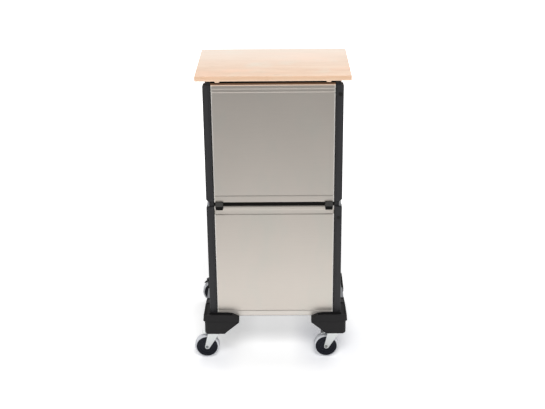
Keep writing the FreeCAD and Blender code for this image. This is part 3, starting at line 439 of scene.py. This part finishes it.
for nodeName, obj in nodes.items():
    obj.data.materials.clear()
    obj.data.materials.append(finishes[slotOf[nodeName]])
print("finishes:", len(finishes))


def bodyOf(nodeName):
    return nodes[nodeName]["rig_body"]


def linked(name, data):
    obj = bpy.data.objects.new(name, data)
    bpy.context.scene.collection.objects.link(obj)
    return obj


def adopt(obj, nodeName):
    # a finished piece takes its node's finish and body, and the node is hidden
    obj.data.materials.clear()
    obj.data.materials.append(finishes[slotOf[nodeName]])
    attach(obj, bodyOf(nodeName))
    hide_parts(nodeName)
    return obj


def fromGrid(name, grid, rowsClose=False, columnsClose=False):
    # quads between the neighbours of a (rows, columns, 3) grid; a closed surface has its
    # poles merged and its faces turned outwards
    index = np.arange(grid.shape[0] * grid.shape[1]).reshape(grid.shape[:2])
    if rowsClose:
        index = np.concatenate([index, index[:1]])
    if columnsClose:
        index = np.concatenate([index, index[:, :1]], axis=1)
    quads = np.stack([index[:-1, :-1], index[1:, :-1], index[1:, 1:], index[:-1, 1:]],
                     axis=-1).reshape(-1, 4)
    mesh = bpy.data.meshes.new(name)
    mesh.from_pydata(grid.reshape(-1, 3).tolist(), [], quads.tolist())
    if rowsClose or columnsClose:
        work = bmesh.new()
        work.from_mesh(mesh)
        bmesh.ops.remove_doubles(work, verts=work.verts, dist=1e-7)
        bmesh.ops.recalc_face_normals(work, faces=work.faces)
        work.to_mesh(mesh)
        work.free()
    mesh.polygons.foreach_set("use_smooth", [True] * len(mesh.polygons))
    return linked(name, mesh)


def weighted(obj):
    obj.modifiers.new("normals", "WEIGHTED_NORMAL").keep_sharp = True
    return obj


def softened(nodeName, width, angle, reshape=None):
    # the node's own form with every crisp edge rounded a little, so that edges catch light;
    # reshape may first move the copy's points, an (n, 3) array
    mesh = nodes[nodeName].data.copy()
    work = bmesh.new()
    work.from_mesh(mesh)
    bmesh.ops.remove_doubles(work, verts=work.verts, dist=1e-6)
    bmesh.ops.dissolve_limit(work, angle_limit=math.radians(0.6), verts=work.verts,
                             edges=work.edges, delimit={"NORMAL"})
    work.to_mesh(mesh)
    work.free()
    if reshape:
        points = np.empty(len(mesh.vertices) * 3)
        mesh.vertices.foreach_get("co", points)
        mesh.vertices.foreach_set("co", reshape(points.reshape(-1, 3)).ravel())
        mesh.update()
    mesh.polygons.foreach_set("use_smooth", [True] * len(mesh.polygons))
    obj = linked(nodeName + "_soft", mesh)
    bevel = obj.modifiers.new("edges", "BEVEL")
    bevel.width = width
    bevel.segments = 2
    bevel.limit_method = "ANGLE"
    bevel.angle_limit = math.radians(angle)
    bevel.harden_normals = False
    bevel.use_clamp_overlap = True
    return adopt(weighted(obj), nodeName)


def eased(points, reach, pieces):
    # every corner of a closed profile becomes a short curve, (1-t)^2 start + 2t(1-t) corner
    # + t^2 end, where start and end lie at most reach along the corner's two sides
    corner = np.array(points, dtype=float)
    before = np.roll(corner, 1, axis=0) - corner
    after = np.roll(corner, -1, axis=0) - corner
    lengthBefore = np.linalg.norm(before, axis=1, keepdims=True)
    lengthAfter = np.linalg.norm(after, axis=1, keepdims=True)
    start = corner + before * np.minimum(reach / lengthBefore, 0.46)
    end = corner + after * np.minimum(reach / lengthAfter, 0.46)
    t = np.linspace(0.0, 1.0, pieces)[None, :, None]
    curve = ((1 - t) ** 2 * start[:, None] + 2 * t * (1 - t) * corner[:, None]
             + t ** 2 * end[:, None])
    return curve.reshape(-1, 2)


def turned(name, profile, centre, around):
    # a closed profile of (radius, along) carried round the axle: x = radius cos(turn),
    # y = along, z = radius sin(turn), moved to the centre; both directions close on themselves
    radius, along = profile.T
    turn = np.linspace(0.0, 2.0 * np.pi, around, endpoint=False)[:, None]
    grid = np.stack([radius * np.cos(turn), along + 0.0 * turn, radius * np.sin(turn)],
                    axis=-1) + np.array(centre)
    return fromGrid(name, grid, rowsClose=True, columnsClose=True)


wheel = {"square": 0.242, "trail": 0.036, "radius": 0.05}
turnings = {
    "wheel_hub": {
        "face": 0.016, "ease": 0.0007, "pieces": 3, "around": 120,
        "side": [(0.00405, 0.001), (0.0095, 0.001), (0.0105, -0.0035), (0.019, -0.0045),
                 (0.020, -0.0025), (0.023, -0.0025), (0.024, -0.0045), (0.0295, -0.004),
                 (0.031, -0.0005), (0.033, -0.0005), (0.034, -0.002), (0.0395, -0.0015),
                 (0.0405, 0.0008), (0.0425, 0.0008)],
    },
    "wheel_tyre": {
        "face": 0.016, "ease": 0.0026, "pieces": 5, "around": 120,
        "side": [(0.0425, -0.0006), (0.0440, 0.0), (0.0447, -0.0004), (0.0454, 0.0),
                 (0.0478, -0.0006), (0.05, -0.0055)],
    },
    "caster_axle": {
        "face": 0.02, "ease": 0.0006, "pieces": 3, "around": 48,
        "side": [(0.0002, 0.0012), (0.0022, 0.0014), (0.0032, 0.0022), (0.0056, 0.00132),
                 (0.0062, 0.0), (0.004, 0.0)],
    },
}


def makeTurnings():
    # hubs with moulded rings, tyres, and axle rivets with domed and dimpled heads; each side
    # point is a radius and a height over the side face, and the two sides are alike
    for piece, own in turnings.items():
        side = [(radius, own["face"] + height) for radius, height in own["side"]]
        profile = eased(side + [(radius, -place) for radius, place in reversed(side)],
                        own["ease"], own["pieces"])
        for corner, (hand, end) in corners.items():
            centre = (hand * wheel["square"] - wheel["trail"], end * wheel["square"],
                      wheel["radius"])
            node = f"{piece}_{corner}"
            adopt(turned(node + "_turned", profile, centre, own["around"]), node)


makeTurnings()
print("wheels and axles turned")


def folded(low, high, radius, depth, inner):
    # places across a sheet with a fold at each end, and how far each lies behind the face:
    # a fold turns by a from 0 to 90 degrees, place = end - radius (1 - sin a),
    # drop = radius (1 - cos a), and a short flange goes on to the given depth
    turn = np.linspace(0.0, np.pi / 2, 7)
    rise = np.append(radius * (1 - np.sin(turn)), 0.0)
    drop = np.append(radius * (1 - np.cos(turn)), depth)
    rest = radius + panel["flat"]
    places = np.concatenate([low + rise[::-1], [low + rest], inner, [high - rest], high - rise])
    drops = np.concatenate([drop[::-1], np.zeros(len(inner) + 2), drop])
    return places, drops


def makeFrontPanels():
    # a sheet with four folded edges and pressed bands: y = face + min(drop over the width
    # + drop over the height - pressed, limit); it stands one step proud at its foot, each
    # step adds its share times t^2 (3 - 2t), and limit keeps the folds clear of the rails
    for name in ("lower_front_panel", "upper_front_panel"):
        own = panel[name]
        middles, signs = np.array(own["steps"]).T
        across = np.linspace(-0.5, 0.5, 7) * panel["stepWidth"]
        pressed = (middles[:, None] + across).ravel()
        railLow, railHigh = own["rails"]
        gap, margin = panel["railGap"], panel["margin"]
        ends = np.array([railLow - gap, railLow + gap, railHigh - gap, railHigh + gap])
        inner = np.unique(np.round(np.concatenate([pressed, ends]), 6))
        inner = inner[(inner > own["low"] + margin) & (inner < own["high"] - margin)]
        heights, dropHigh = folded(own["low"], own["high"], panel["radius"],
                                   panel["shallow"], inner)
        widths, dropWide = folded(-panel["half"], panel["half"], own["sideRadius"],
                                  panel["flange"], np.array(panel["columns"]))
        widths, dropWide = widths[::-1], dropWide[::-1]
        t = np.clip((heights[:, None] - middles) / panel["stepWidth"] + 0.5, 0, 1)
        level = 1 + (t ** 2 * (3 - 2 * t) * signs).sum(axis=1)
        limit = np.where((heights > railLow) & (heights < railHigh), panel["flange"],
                         panel["shallow"])
        deep = np.minimum(dropHigh[:, None] - level[:, None] * panel["stepHeight"] + dropWide,
                          limit[:, None])
        grid = np.stack([widths + 0.0 * deep, panel["face"] + deep,
                         heights[:, None] + 0.0 * deep], axis=-1)
        sheet = fromGrid(name + "_folded", grid)
        wall = sheet.modifiers.new("sheet", "SOLIDIFY")
        wall.thickness = panel["sheet"]
        wall.offset = -1.0
        adopt(weighted(sheet), name)


makeFrontPanels()
print("front panels folded")

# in this dictionary a pair is a fade's (start, reach) or a range's (low, high)
foot = {
    "drop": 0.003, "base": (0.1285, -0.0045), "block": (0.1, 0.180),
    "outset": 0.0034, "flare": 0.0013, "wall": (0.124, 0.05), "wallFace": (0.262, 0.016),
    "lean": 0.0022, "rim": (0.2065, -0.026), "rimFrom": 0.1805, "rimFace": (0.277, 0.009),
    "tipEnd": 0.150, "tipHigh": (0.170, 0.200), "tipSplit": 0.190,
    "tipTop": 0.0030, "tipBase": 0.0032,
    "grooveDeep": (0.1754, 0.1766), "grooveSide": (0.262, 0.283), "grooveHigh": (0.187, 0.190),
    "grooveTop": 0.204, "coverDeep": (0.1714, 0.1726), "coverSide": 0.255, "coverBase": 0.186,
    "coverTop": 0.2, "coverEnd": 0.135, "coverDrop": 0.0012,
    "taper": 0.0035, "taperDeep": (0.230, -0.10), "taperSide": 0.279, "taperBase": 0.176,
    "sillFace": 0.281,
}


def fade(value, start, reach):
    # 0 before the start and 1 from the reach beyond it; a negative reach runs downwards
    return np.clip((value - start) / reach, 0, 1)


def within(value, low, high):
    return (value > low) & (value < high)


def footForm(points):
    # a lower base, fuller block walls and a leaning collar, each fading in smoothly; the side
    # arm draws in towards its tip, the groove behind its wall rises to the tip, and its cover
    # is carried further over the sill
    side, deep, up = np.abs(points).T
    sign = np.sign(points)
    high = up - foot["drop"] * fade(up, *foot["base"])
    fuller = foot["outset"] + foot["flare"] * fade(up, *foot["wall"])
    fuller = np.where(within(up, *foot["block"]), fuller, 0.0)
    lean = foot["lean"] * fade(up, *foot["rim"]) * (up > foot["rimFrom"])

    def pushed(place):
        return (place + fuller * fade(place, *foot["wallFace"])
                + lean * fade(place, *foot["rimFace"]))

    wide, front = pushed(side), pushed(deep)
    tip = (np.minimum(side, deep) < foot["tipEnd"]) & within(up, *foot["tipHigh"])
    tipDrop = np.where(up > foot["tipSplit"], foot["tipTop"], foot["tipBase"])
    high = np.where(tip, high - tipDrop, high)
    groove = within(deep, *foot["grooveDeep"]) & within(side, *foot["grooveSide"])
    high = np.where(groove & within(up, *foot["grooveHigh"]), foot["grooveTop"], high)
    cover = (within(deep, *foot["coverDeep"]) & (side > foot["coverSide"])
             & (up > foot["coverBase"]))
    front = np.where(cover, foot["coverEnd"], front)
    high = np.where(cover & (up > foot["coverTop"]), high - foot["coverDrop"], high)
    arm = (side > foot["taperSide"]) & (up > foot["taperBase"])
    wide = np.where(arm, wide - foot["taper"] * fade(deep, *foot["taperDeep"]), wide)
    return np.stack([wide, front, high], axis=-1) * np.where(sign == 0, 1, sign)


def sillForm(points):
    # the sill ends under the covers, and its outer face stands a little back
    side, deep, up = points.T
    side = np.clip(side, -foot["sillFace"], foot["sillFace"])
    deep = np.clip(deep, -foot["coverEnd"], foot["coverEnd"])
    return np.stack([side, deep, up], axis=-1)


fork = {"behind": 0.77, "ahead": 1.05, "crown": (0.060, 0.044), "eye": 0.88}


def forkForm(points):
    # each point's way across from its axle shrinks behind the axle and grows ahead of it, less
    # and less up to the crown; below the axle the eye is flattened
    side, deep, up = points.T
    axle = np.sign(side) * wheel["square"] - wheel["trail"]
    full = fade(up, *fork["crown"])
    slim = np.where(side > axle, fork["ahead"], fork["behind"])
    scale = slim + (1 - slim) * full
    low = np.where(up < wheel["radius"],
                   wheel["radius"] + (up - wheel["radius"]) * fork["eye"], up)
    return np.stack([axle + (side - axle) * scale, deep, low], axis=-1)


def drawnIn(rings, power):
    # how full a bar is along its length: 1 in the middle and 0 at both ends
    place = np.linspace(-1, 1, rings)
    return ((1 - np.abs(place) ** power) ** 0.5)[:, None, None]


def carried(name, path, wide, high):
    # a rounded bar: at each centre a ring y = wide C, across the path = high S, where C and S
    # are cos and sin with their size raised to the power 1/2, which squares the ring; the
    # ends draw in to a point
    along = np.gradient(path, axis=0)
    along /= np.linalg.norm(along, axis=1, keepdims=True)
    normal = np.stack([-along[:, 2], 0 * along[:, 0], along[:, 0]], axis=-1)
    turn = np.linspace(0, 2 * np.pi, 24, endpoint=False)[None, :, None]
    cosine = np.sign(np.cos(turn)) * np.abs(np.cos(turn)) ** 0.5
    sine = np.sign(np.sin(turn)) * np.abs(np.sin(turn)) ** 0.5
    sideways = np.array([0.0, 1.0, 0.0])
    grid = path[:, None] + drawnIn(len(path), 6) * (
        wide * cosine * sideways + high * sine * normal[:, None])
    return fromGrid(name, grid, columnsClose=True)


pedal = {
    "pivot": (-0.0210, 0.1054), "upperTip": (-0.0700, 0.1070), "lowerTip": (-0.0800, 0.0875),
    "upperBend": (-0.048, 0.1120), "lowerBend": (-0.055, 0.1118),
    "upperHalf": 0.0105, "lowerHalf": 0.0085, "thick": 0.0026, "rings": 25,
    "bore": 0.0021, "hub": 0.0052, "hubHalf": 0.0165, "hubEase": 0.001,
}


def makePedals():
    # two fingers leave a round hub on the cross pin: one to press and one to lift; each runs
    # on the curve (1-t)^2 pivot + 2t(1-t) bend + t^2 tip
    t = np.linspace(0, 1, pedal["rings"])[:, None]
    pivot = np.array(pedal["pivot"])
    bore, hub, half = pedal["bore"], pedal["hub"], pedal["hubHalf"]
    ring = eased([(bore, -half), (hub, -half), (hub, half), (bore, half)], pedal["hubEase"], 4)
    for corner in ("rear_left", "rear_right"):
        node = f"brake_pedal_{corner}"
        across, deep = (sign * wheel["square"] for sign in corners[corner])
        for finger in ("upper", "lower"):
            bend, tip = np.array(pedal[finger + "Bend"]), np.array(pedal[finger + "Tip"])
            line = (1 - t) ** 2 * pivot + 2 * t * (1 - t) * bend + t ** 2 * tip
            path = np.stack([across + line[:, 0], deep + 0 * line[:, 0], line[:, 1]], axis=-1)
            adopt(carried(f"{node}_{finger}", path, pedal[finger + "Half"], pedal["thick"]),
                  node)
        centre = (across + pivot[0], deep, pivot[1])
        adopt(turned(node + "_hub", ring, centre, around=40), node)


makePedals()
print("pedals shaped")

bumper = {
    "section": [(0.2812, 0.187), (0.2853, 0.1875), (0.2858, 0.2050), (0.2845, 0.2092),
                (0.2765, 0.2094), (0.2765, 0.2082), (0.2812, 0.2082)],
    "ease": 0.0012, "middle": (0.2825, 0.198), "front": -0.052, "back": 0.100, "rings": 41,
}


def makeBumpers():
    # an angled rubber strip over the sill's top edge: its section runs from front to back and
    # draws in to its middle at both ends
    section = eased(bumper["section"], bumper["ease"], 4)
    middle = np.array(bumper["middle"])
    rings = middle + drawnIn(bumper["rings"], 24) * (section - middle)
    along = np.linspace(bumper["front"], bumper["back"], bumper["rings"])[:, None]
    for hand, side in ((-1, "left"), (1, "right")):
        grid = np.stack([hand * rings[..., 0], along + 0 * rings[..., 0], rings[..., 1]],
                        axis=-1)
        paintedLightStrip = fromGrid(f"side_buffers_{side}", grid, columnsClose=True)
        adopt(weighted(paintedLightStrip), "side_buffers")


makeBumpers()
print("bumpers shaped")

softEdges = {
    "corner_foot": 0.0016, "_post_": 0.0008, "clip_blocks": 0.0010, "clip_pads": 0.0010,
    "side_sills": 0.0008, "side_panel": 0.0009, "caster_fork": 0.0007, "turn_lock": 0.0006,
    "caster_plates": 0.0006, "cross_rails": 0.0012, "side_rails": 0.0012, "_shelf": 0.0006,
    "floor_plate": 0.0004, "post_connectors": 0.0007, "base_tray": 0.0004,
    "board_battens": 0.0008, "top_board": 0.0016,
}
forms = {"corner_foot": footForm, "side_sills": sillForm, "caster_fork": forkForm}
crispAngle = {"side_panel": 20.0}  # degrees between two faces; every other piece takes 32
for nodeName in sorted(nodes):
    for key, width in softEdges.items():
        if key in nodeName:
            softened(nodeName, width, crispAngle.get(key, 32.0), forms.get(key))
print("edges softened")

# in this dictionary a pair is (edge, width) for above and below, or a place (across, deep)
stage = {
    "floorHalf": 14.0, "seenMatt": 0.82, "mirrorMatt": 0.26, "bounceMatt": 0.90,
    "nearGlow": 0.42, "farGlow": 1.0, "spread": (0.7, 1.7),
    "paintedLightPool": 0.15, "poolDeep": -0.05, "poolWide": (0.17, 0.10), "poolLong": (0.25, 0.14),
    "dimTint": (0.74, 0.75, 0.80), "wheelShade": 0.9, "wheelMiddle": (-0.018, -0.28),
    "wheelApart": 0.24, "wheelWide": (0.13, 0.09), "wheelLong": (0.15, 0.10),
    "asideFrom": (0.06, 0.10), "asideTo": (0.47, 0.14), "asideDeep": -0.17,
    "asideLong": (0.27, 0.16), "mirrorReach": 8.0,
    "mirrorFall": [(0.0, 0.20), (0.045, 0.26), (0.075, 1.0), (0.11, 0.90), (0.175, 0.60),
                   (0.26, 0.34), (0.375, 0.12), (0.56, 0.0), (1.0, 0.0)],
    "skyFront": 0.20, "skyBack": 1.0, "skyTop": 0.22, "backDeep": (-0.2, 0.8),
    "topUp": (0.3, 0.7),
}


def floorFinish(name):
    # pale matt floor: white to the camera outside the soft shadow; a painted pool of light
    # brightens it under the stand, and a painted cool shadow darkens it at the stand's right side
    # and under the front wheels; in mirrors it shows painted light, a painted shadow under the
    # stand, brightest just outside it and darker further away, as a swept studio floor is
    finish = Finish(name)
    path = finish.node("ShaderNodeLightPath")
    seen = path.out("Is Camera Ray")
    mirrored = path.out("Is Glossy Ray") + path.out("Is Transmission Ray")
    away = finish.distance(finish.place())
    # painted light in mirrors: low under the stand as a painted shadow, brightest just outside it,
    # darker further away
    ramp = finish.node("ShaderNodeValToRGB",
                       {"ramp": [(at, (level,) * 3) for at, level in stage["mirrorFall"]]},
                       {0: away / stage["mirrorReach"]})
    matt = (stage["bounceMatt"] - seen * (stage["bounceMatt"] - stage["seenMatt"])
            - mirrored * (stage["bounceMatt"] - stage["mirrorMatt"]))
    spread = away.above(*stage["spread"])
    across, deep = finish.axes()[:2]
    # painted pool of light: extra glow on the floor under the stand
    paintedLightPool = (abs(across).below(*stage["poolWide"])
            * abs(deep - stage["poolDeep"]).below(*stage["poolLong"]))
    glow = (seen * (stage["nearGlow"] + spread * (stage["farGlow"] - stage["nearGlow"])
                    + paintedLightPool * stage["paintedLightPool"]) + mirrored * ramp)
    # painted shadow: a cooler, darker glow beside the stand's right side and under the front
    # wheels
    aside = (across.above(*stage["asideFrom"]) * across.below(*stage["asideTo"])
             * abs(deep - stage["asideDeep"]).below(*stage["asideLong"]))
    middleAcross, middleDeep = stage["wheelMiddle"]
    fromWheel = abs(abs(across - middleAcross) - stage["wheelApart"])
    wheels = (fromWheel.below(*stage["wheelWide"])
              * abs(deep - middleDeep).below(*stage["wheelLong"]))
    paintedShadow = aside.calc("MAXIMUM", aside, wheels * stage["wheelShade"])
    tint = finish.mix(paintedShadow, (1, 1, 1), stage["dimTint"])
    body = finish.node("ShaderNodeBsdfDiffuse", {}, {"Color": matt})
    light = finish.node("ShaderNodeEmission", {}, {"Color": tint, "Strength": glow})
    return finish.close(finish.node("ShaderNodeAddShader", {}, {0: body, 1: light}))


def makeWorld():
    # white to the camera; as light, a pale sweep behind the stand, a dimmer room in front
    # and a soft ceiling
    finish = Finish("studioSky", bpy.data.worlds.new("studioSky"))
    bpy.context.scene.world = finish.block
    seen = finish.node("ShaderNodeLightPath").out("Is Camera Ray")
    deep, up = finish.axes(finish.node("ShaderNodeTexCoord").out("Generated"))[1:]
    behind = deep.above(*stage["backDeep"])
    sky = (stage["skyFront"] + behind * (stage["skyBack"] - stage["skyFront"])
           + up.above(*stage["topUp"]) * stage["skyTop"])
    level = seen + (1 - seen) * sky
    finish.close(finish.node("ShaderNodeBackground", {},
                             {"Color": (1, 1, 1), "Strength": level}),
                 kind="ShaderNodeOutputWorld")


def makeFloor():
    half = stage["floorHalf"]
    mesh = bpy.data.meshes.new("studioFloor")
    mesh.from_pydata([(-half, -half, 0), (half, -half, 0), (half, half, 0), (-half, half, 0)],
                     [], [(0, 1, 2, 3)])
    mesh.materials.append(floorFinish("studioWhite"))
    floor = linked("studioFloor", mesh)


lamp = {"place": (0.2, -3.0, 3.6), "target": (0, -0.2, 0.5), "size": 1.8, "power": 104.0}


def makeLamp():
    data = bpy.data.lights.new("keyFront", "AREA")
    data.shape = "DISK"
    data.size = lamp["size"]
    data.energy = lamp["power"]
    key = linked("keyFront", data)
    key.location = lamp["place"]
    aim = Vector(lamp["target"]) - Vector(lamp["place"])
    key.rotation_euler = aim.to_track_quat("-Z", "Y").to_euler()
    key.visible_glossy = False  # the sheet metal mirrors the room, not the lamp


view = {
    "place": (0.03564, -3.9710, 2.2023), "lens": 69.02, "pitch": 22.378, "yaw": -0.646,
    "roll": 0.595,
}


def makeCamera():
    pitch, yaw, roll = (math.radians(view[key]) for key in ("pitch", "yaw", "roll"))
    forward = Vector((math.sin(yaw) * math.cos(pitch), math.cos(yaw) * math.cos(pitch),
                      -math.sin(pitch)))
    levelRight = Vector((math.cos(yaw), -math.sin(yaw), 0))
    levelUp = levelRight.cross(forward)
    right = levelRight * math.cos(roll) - levelUp * math.sin(roll)
    up = levelRight * math.sin(roll) + levelUp * math.cos(roll)
    data = bpy.data.cameras.new("camera")
    data.lens = view["lens"]
    data.sensor_width = 36.0
    data.sensor_fit = "HORIZONTAL"
    camera = linked("camera", data)
    turn = Matrix((right, up, -forward)).transposed().to_4x4()
    camera.matrix_world = Matrix.Translation(view["place"]) @ turn
    bpy.context.scene.camera = camera


makeCamera()
makeFloor()
makeWorld()
makeLamp()
bpy.context.scene.view_settings.view_transform = "Standard"
print("stage, lamp and camera ready")
